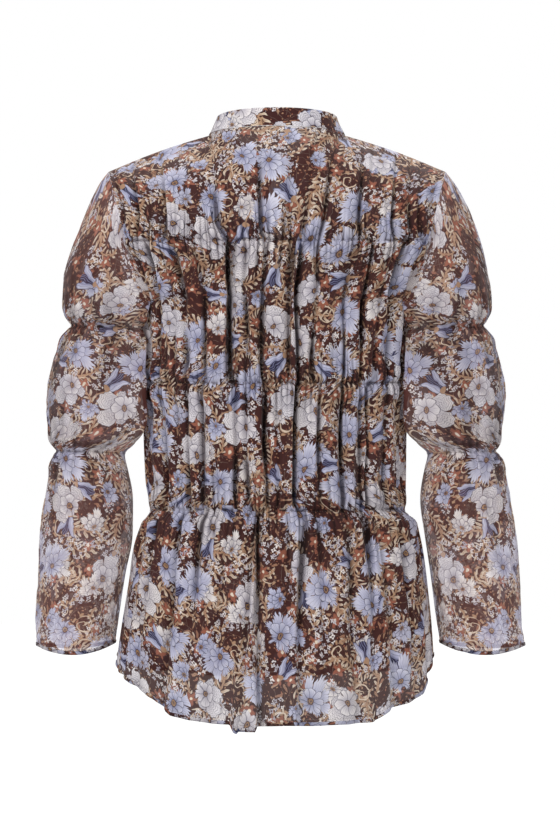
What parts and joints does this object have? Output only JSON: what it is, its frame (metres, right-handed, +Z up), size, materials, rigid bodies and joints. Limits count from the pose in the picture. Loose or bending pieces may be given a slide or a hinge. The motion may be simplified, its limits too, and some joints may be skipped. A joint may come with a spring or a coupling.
{
  "type": "blouse",
  "caption": "Loose hollow blouse with a stand collar, elastic-gathered body and puffed sleeves, and a flared shirt-tail hem.",
  "frame": {"origin": "middle of the neck, level with the place where the garment sits on the shoulders", "axes": "+Z up, +X to the wearer's right, +Y to the wearer's front, so the pictured back faces -Y"},
  "size_m": [0.5378, 0.2549, 0.6862],
  "materials": {
    "georgette": "sheer crinkled georgette, matte, printed all over with flowers on red-brown"
  },
  "bodies": {
    "root": {"back": "georgette", "front": "georgette", "sleeve_left": "georgette", "sleeve_right": "georgette", "collar": "georgette"}
  },
  "joints": []
}
